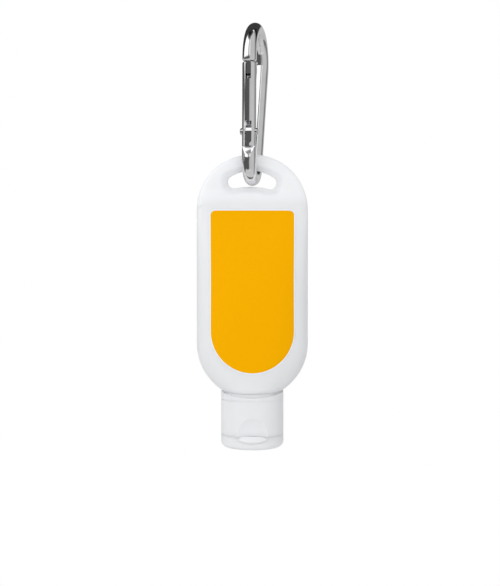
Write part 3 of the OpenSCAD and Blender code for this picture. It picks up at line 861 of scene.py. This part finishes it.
def lip_profile(share):
    """The thumb lip's x at a share of its half width, and the points (out, up) of its section."""
    x = share * LIP_HALF_W
    reach = (1 - share**2) ** LIP_REACH_SHARE
    height = (1 - share**2) ** LIP_HEIGHT_SHARE
    wall = math.sqrt(CAP_R**2 - x**2)
    room = max(0, wall - (CAP_R - SCOOP_DEPTH) - LIP_CLEAR)
    rise = LIP_RISE * min(1, room)
    shelf = wall - min(LIP_SHELF, room)
    tip_out = wall + LIP_OUT * reach
    tip_low = -LIP_TOP - LIP_LEAST_FALL - LIP_FALL * height
    back_l = LIP_L * reach
    profile = [
        (wall - SCOOP_DEPTH, -LIP_TOP - LIP_ROOT_L),
        (wall - SCOOP_DEPTH, -LIP_TOP),
        (wall - room, -LIP_TOP),
        (wall - room, rise),
        (shelf, rise),
    ]
    for k in LIP_SLOPE_STEPS:
        up = rise + (tip_low - rise) * k**LIP_SLOPE_SHARE
        profile.append((shelf + (tip_out - shelf) * k, up))
    for k in np.linspace(0, 1, LIP_RETURN_ROWS):
        out = wall - LIP_SINK + (LIP_OUT * reach + LIP_SINK) * (1 - k) ** 3
        profile.append((out, tip_low - LIP_TIP_DROP - back_l * k))
    profile.append((wall - LIP_BACK, tip_low - back_l * LIP_BACK_SHARE))
    return x, profile


def make_thumb_lip():
    """Lip of the lid under the thumb scoop: its top reaches up into the scoop, it slopes out until
    it stands a little proud of the lid, and runs back into it below."""
    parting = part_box("cap_lid")[0].z / MM + LID_H + PARTING_GAP
    points = []
    for share in np.sin(np.linspace(-QUARTER, QUARTER, LIP_COLUMNS)):
        x, profile = lip_profile(share)
        points += [(x, -out, parting + up) for out, up in profile]
    count = len(profile)
    faces = ring_faces(LIP_COLUMNS, count)
    faces.append(list(range(count)))
    faces.append([(LIP_COLUMNS - 1) * count + j for j in range(count)])
    piece = new_piece("thumb_lip", points, faces, sharp_angle=60)
    wear(piece, CAP_WHITE)
    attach(piece, "lid")


def make_hinge():
    """Living hinge: a strip thinned at its middle, in fine rows."""
    low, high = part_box("hinge_strap")
    middle = (low + high) / 2
    points = []
    for i in range(HINGE_ROWS + 1):
        z = low.z + (high.z - low.z) * i / HINGE_ROWS
        from_middle = abs(z - middle.z) / (high.z - middle.z)
        thickness = HINGE_THIN + (1 - HINGE_THIN) * min(1, from_middle * 2) ** 2
        half_t = (high.y - low.y) / 2 * thickness
        for y in (high.y - 2 * half_t, high.y):
            for j in range(HINGE_COLUMNS + 1):
                x = low.x + (high.x - low.x) * j / HINGE_COLUMNS
                points.append((x / MM, y / MM, z / MM))
    side = HINGE_COLUMNS + 1
    row = 2 * side
    loop = list(range(side)) + list(range(row - 1, side - 1, -1))
    faces = []
    for i in range(HINGE_ROWS):
        for a, b in zip(loop, loop[1:] + loop[:1]):
            faces.append([i * row + a, i * row + b, (i + 1) * row + b, (i + 1) * row + a])
    faces.append(loop)
    faces.append([HINGE_ROWS * row + a for a in loop])
    piece = new_piece("hinge_web", points, faces, sharp_angle=40)
    wear(piece, CAP_WHITE)
    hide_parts("hinge_strap")
    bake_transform(piece)


# Hook


def make_hook():
    for name, node, body, edge, material, slot in (
        ("hook_frame", "carabiner_frame", "hook", HOOK_EDGE, CHROME, "hook_chrome"),
        ("hook_gate", "gate", "gate", HOOK_EDGE, CHROME, "hook_chrome"),
        ("hook_rivet", "gate_rivet", "gate", RIVET_EDGE, STEEL, "steel"),
    ):
        piece = refined(name, node, edge)
        wear(piece, material)
        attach(piece, body)
    wear(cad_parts["gate_plunger"], STEEL)


def make_spring():
    """The gate's coil spring, copied from its solid where it stands."""
    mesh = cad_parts["gate_spring"].data.copy()
    finish_mesh(mesh, WELD, sharp_angle=70)
    piece = new_object("gate_coil", mesh)
    wear(piece, STEEL)
    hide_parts("gate_spring")
    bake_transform(piece)


# Stage


def math_node(tree, operation, first, second=None):
    node = tree.nodes.new("ShaderNodeMath")
    node.operation = operation
    for i, value in enumerate((first, second)):
        if value is None:
            continue
        if isinstance(value, (int, float)):
            node.inputs[i].default_value = value
        else:
            tree.links.new(value, node.inputs[i])
    return node.outputs[0]


def ramp(tree, value, stops):
    """Brightness along value, from stops of (place, brightness)."""
    low = stops[0][0]
    high = stops[-1][0]
    node = tree.nodes.new("ShaderNodeValToRGB")
    elements = node.color_ramp.elements
    while len(elements) < len(stops):
        elements.new(0.5)
    for element, (place, level) in zip(elements, stops):
        element.position = (place - low) / (high - low)
        element.color = (level, level, level, 1)
    tree.links.new(spread(tree, value, low, high, 0, 1), node.inputs["Fac"])
    return node.outputs["Color"]


def background(tree, level):
    node = tree.nodes.new("ShaderNodeBackground")
    if isinstance(level, (int, float)):
        node.inputs["Color"].default_value = (level, level, level, 1)
    else:
        tree.links.new(level, node.inputs["Color"])
    return node.outputs["Background"]


def mix_shader(tree, factor, first, second):
    node = tree.nodes.new("ShaderNodeMixShader")
    tree.links.new(factor, node.inputs["Fac"])
    tree.links.new(first, node.inputs[1])
    tree.links.new(second, node.inputs[2])
    return node.outputs["Shader"]


def make_floor():
    """Pale floor far below, which lights the object from under it and is white to the camera."""
    points = [
        (x, y, FLOOR_Z)
        for y in np.linspace(FLOOR_FRONT, FLOOR_HALF, FLOOR_STEPS + 1)
        for x in np.linspace(-FLOOR_HALF, FLOOR_HALF, FLOOR_STEPS + 1)
    ]
    row = FLOOR_STEPS + 1
    faces = []
    for i in range(FLOOR_STEPS):
        for j in range(FLOOR_STEPS):
            a = i * row + j
            faces.append([a, a + 1, a + row + 1, a + row])
    floor = new_piece("floor", points, faces)
    material, tree, shader = new_material("pale floor", (0.74, 0.74, 0.74), 0.8)
    mottle = noise(tree, scale=60, detail=4)
    shade = tint(tree, mottle, (0.75, 0.75, 0.75), (0.73, 0.73, 0.73))
    tree.links.new(shade, shader.inputs["Base Color"])
    white = tree.nodes.new("ShaderNodeEmission")
    white.inputs["Color"].default_value = (1, 1, 1, 1)
    rays = tree.nodes.new("ShaderNodeLightPath")
    seen = mix_shader(tree, rays.outputs["Is Camera Ray"], shader.outputs["BSDF"], white.outputs["Emission"])
    tree.links.new(seen, tree.get_output_node("ALL").inputs["Surface"])
    wear(floor, material)


def make_world():
    """Soft light, strongest from the front left and above. Gloss shows a studio with a dark side
    towards the camera, a pale wall to the right, a narrow pale strip to the left and a white card
    above. The camera sees plain white."""
    world = bpy.data.worlds.new("studio")
    bpy.context.scene.world = world
    world.use_nodes = True
    tree = world.node_tree
    tree.nodes.clear()
    output = tree.nodes.new("ShaderNodeOutputWorld")
    place = tree.nodes.new("ShaderNodeTexCoord")
    split = tree.nodes.new("ShaderNodeSeparateXYZ")
    tree.links.new(place.outputs["Generated"], split.inputs["Vector"])
    x, y, z = split.outputs
    forward = math_node(tree, "MULTIPLY", y, -1)
    azimuth = math_node(tree, "DEGREES", math_node(tree, "ARCTAN2", x, forward))
    elevation = math_node(tree, "DEGREES", math_node(tree, "ARCSINE", z))
    gloss = None
    for about_stops, height_stops, level in GLOSS_LAYERS:
        about = ramp(tree, azimuth, about_stops)
        height = ramp(tree, elevation, height_stops)
        layer = math_node(tree, "MULTIPLY", math_node(tree, "MULTIPLY", about, height), level)
        gloss = layer if gloss is None else math_node(tree, "ADD", gloss, layer)
    soft_about = ramp(tree, azimuth, SOFT_ABOUT)
    soft = math_node(tree, "MULTIPLY", soft_about, ramp(tree, elevation, SOFT_HEIGHT))
    rays = tree.nodes.new("ShaderNodeLightPath")
    seen = math_node(tree, "MAXIMUM", rays.outputs["Is Camera Ray"], rays.outputs["Is Transmission Ray"])
    lit = mix_shader(tree, rays.outputs["Is Glossy Ray"], background(tree, soft), background(tree, gloss))
    tree.links.new(mix_shader(tree, seen, lit, background(tree, 1.0)), output.inputs["Surface"])


def make_camera():
    data = bpy.data.cameras.new("camera")
    data.sensor_width = SENSOR
    data.sensor_fit = "AUTO"
    data.lens = FOCAL_PIXELS * SENSOR / IMAGE_LONG_SIDE
    data.clip_start = CLIP_START
    data.clip_end = CLIP_END
    camera = new_object("camera", data)
    camera.location = CAMERA_PLACE
    camera.rotation_euler = (math.radians(90), 0, 0)
    bpy.context.scene.camera = camera


bpy.context.scene.view_settings.view_transform = "Standard"
make_camera()
make_world()
make_floor()
make_bottle()
make_front_label()
make_back_label()
make_cap()
make_thumb_lip()
make_hinge()
make_hook()
make_spring()
